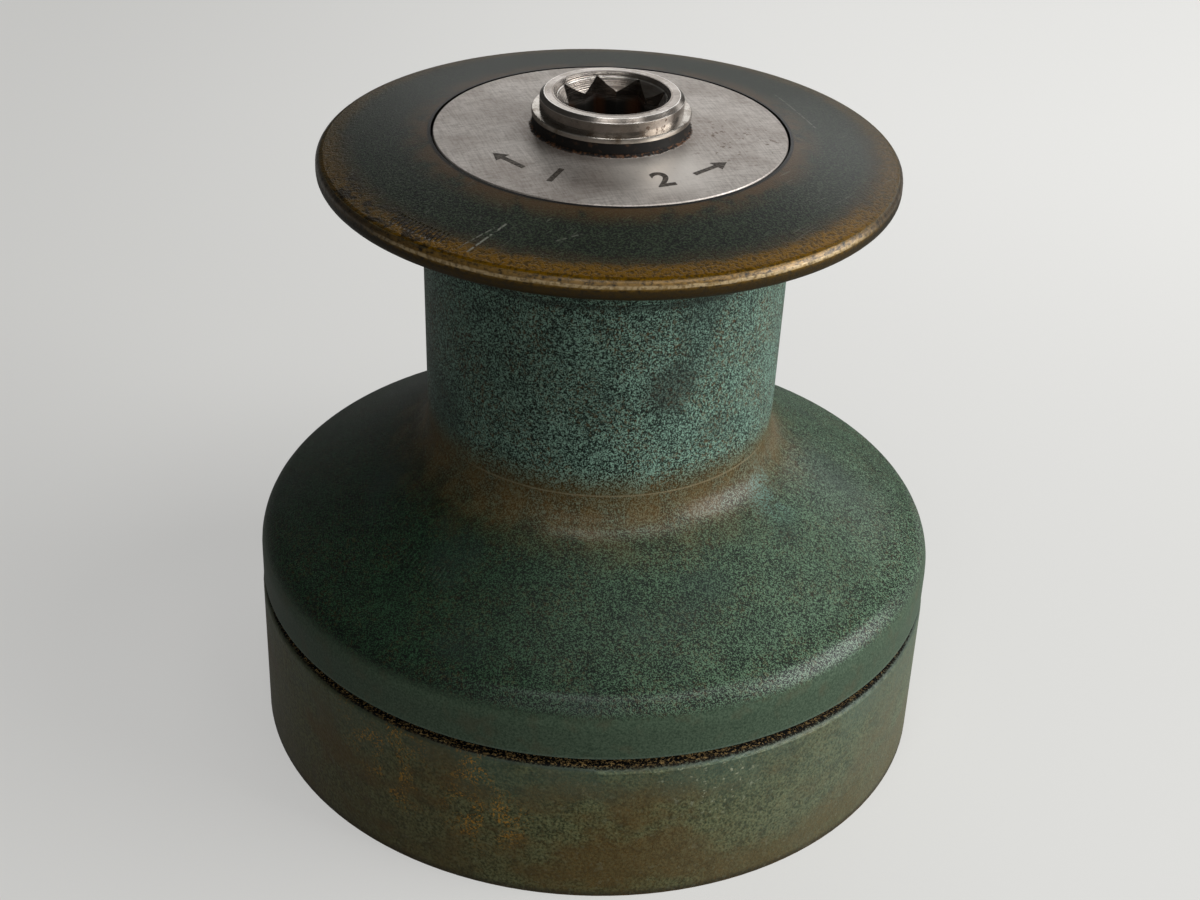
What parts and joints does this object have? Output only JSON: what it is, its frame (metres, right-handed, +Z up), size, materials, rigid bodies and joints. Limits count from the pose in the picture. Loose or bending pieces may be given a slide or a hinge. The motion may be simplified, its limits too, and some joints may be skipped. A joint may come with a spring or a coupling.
{
  "type": "sheet winch",
  "caption": "Sheet winch: a flared bronze drum on a round bronze base, turned through gears by a socketed steel spindle.",
  "frame": {"origin": "centre of the base's underside, on the deck", "axes": "+Z up the drum's axis towards the handle socket, the picture looks along +Y"},
  "size_m": [0.1628, 0.1628, 0.1592],
  "materials": {
    "patinated_bronze": "dark green and brown patina",
    "plain_bronze": "machined, dulled with old grease",
    "gear_bronze": "machined",
    "satin_steel": "satin, finely scratched",
    "spindle_steel": "polished, tarnished",
    "black_plastic": "matt"
  },
  "bodies": {
    "base": {"base_casting": "patinated_bronze", "centre_stem": "plain_bronze", "stem_screw_1": "spindle_steel", "stem_screw_2": "spindle_steel", "stem_screw_3": "spindle_steel", "stem_screw_4": "spindle_steel", "second_gear_pin": "spindle_steel", "inner_idler_pin": "spindle_steel", "outer_idler_pin": "spindle_steel", "foot_bush": "black_plastic", "head_bush": "black_plastic", "thrust_washer": "black_plastic", "lower_roller_cage": "black_plastic", "lower_rollers": "spindle_steel", "bearing_spacer": "black_plastic", "upper_roller_cage": "black_plastic", "upper_rollers": "spindle_steel"},
    "drum": {"drum_casting": "patinated_bronze", "drum_ring_gear": "plain_bronze", "top_cap": "satin_steel"},
    "spindle": {"main_spindle": "spindle_steel", "spindle_pawl_1": "spindle_steel", "spindle_pawl_2": "spindle_steel", "spindle_washer": "black_plastic", "spindle_circlip": "spindle_steel"},
    "first_gear": {"first_speed_gear": "gear_bronze"},
    "inner_idler": {"inner_idler_gear": "spindle_steel"},
    "outer_idler": {"outer_idler_gear": "spindle_steel"},
    "second_gear": {"second_speed_gear": "gear_bronze"},
    "second_pinion": {"second_speed_pinion": "spindle_steel", "pinion_pawl_1": "spindle_steel", "pinion_pawl_2": "spindle_steel"}
  },
  "joints": [
    {"name": "drum_spin", "type": "hinge", "parent": "base", "child": "drum", "pos_m": [0, 0, 0], "axis": [0, 0, 1], "continuous": true},
    {"name": "spindle_spin", "type": "hinge", "parent": "base", "child": "spindle", "pos_m": [0, 0, 0], "axis": [0, 0, 1], "continuous": true},
    {"name": "first_gear_spin", "type": "hinge", "parent": "base", "child": "first_gear", "pos_m": [0, 0, 0], "axis": [0, 0, 1], "continuous": true},
    {"name": "inner_idler_spin", "type": "hinge", "parent": "base", "child": "inner_idler", "pos_m": [-0.00657, -0.04148, 0], "axis": [0, 0, 1], "continuous": true},
    {"name": "outer_idler_spin", "type": "hinge", "parent": "base", "child": "outer_idler", "pos_m": [-0.03056, -0.04207, 0], "axis": [0, 0, 1], "continuous": true},
    {"name": "second_gear_spin", "type": "hinge", "parent": "base", "child": "second_gear", "pos_m": [0, 0.044, 0], "axis": [0, 0, 1], "continuous": true},
    {"name": "second_pinion_spin", "type": "hinge", "parent": "base", "child": "second_pinion", "pos_m": [0, 0.044, 0], "axis": [0, 0, 1], "continuous": true}
  ],
  "couplings": [
    {"joint": "first_gear_spin", "follows": "drum_spin", "ratio": 2.1333},
    {"joint": "inner_idler_spin", "follows": "drum_spin", "ratio": -5.3333},
    {"joint": "outer_idler_spin", "follows": "drum_spin", "ratio": 5.3333},
    {"joint": "second_pinion_spin", "follows": "drum_spin", "ratio": 3.2},
    {"joint": "second_gear_spin", "follows": "spindle_spin", "ratio": -0.46667}
  ]
}
